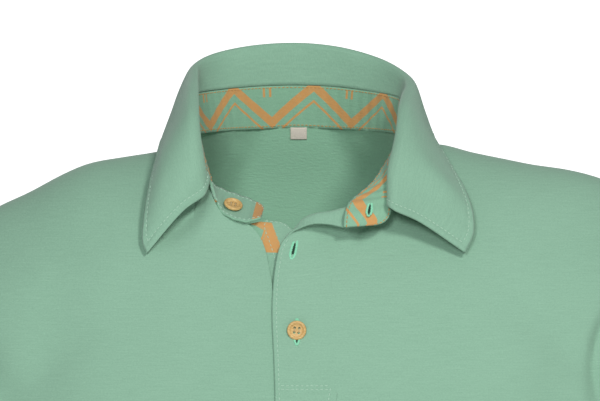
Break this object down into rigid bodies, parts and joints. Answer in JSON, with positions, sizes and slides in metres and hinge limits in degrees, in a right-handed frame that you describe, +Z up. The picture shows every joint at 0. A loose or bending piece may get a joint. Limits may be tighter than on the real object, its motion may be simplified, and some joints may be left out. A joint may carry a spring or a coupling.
{
  "type": "polo shirt",
  "caption": "Short-sleeved polo shirt, filled out and hollow, with an open collar on a stand, a buttoned placket, a printed neckband and open neck, cuffs and hem",
  "frame": {"origin": "on the centre plane at the height of the shoulder tops, in the middle of the neck opening, where the wearer holds the shirt", "axes": "+Z up along the body of the shirt, the front faces -Y, +X is to the right as seen from the front"},
  "size_m": [0.7342, 0.2209, 0.8136],
  "materials": {
    "body_cloth": "soft sage green cotton jersey with a faint heather and fine slubs",
    "printed_cloth": "sage green cotton with a tan chevron print on the inner side",
    "button_wood": "pale turned wood, satin",
    "label_tape": "cream woven tape"
  },
  "bodies": {
    "root": {"front_body": "body_cloth", "back_body": "body_cloth", "sleeve_left": "body_cloth", "sleeve_right": "body_cloth", "collar_stand": "printed_cloth", "collar_fall": "body_cloth", "top_placket": "body_cloth", "under_placket": "printed_cloth", "button_stand": "button_wood", "button_second": "button_wood", "button_third": "button_wood", "size_label": "label_tape"}
  },
  "joints": []
}
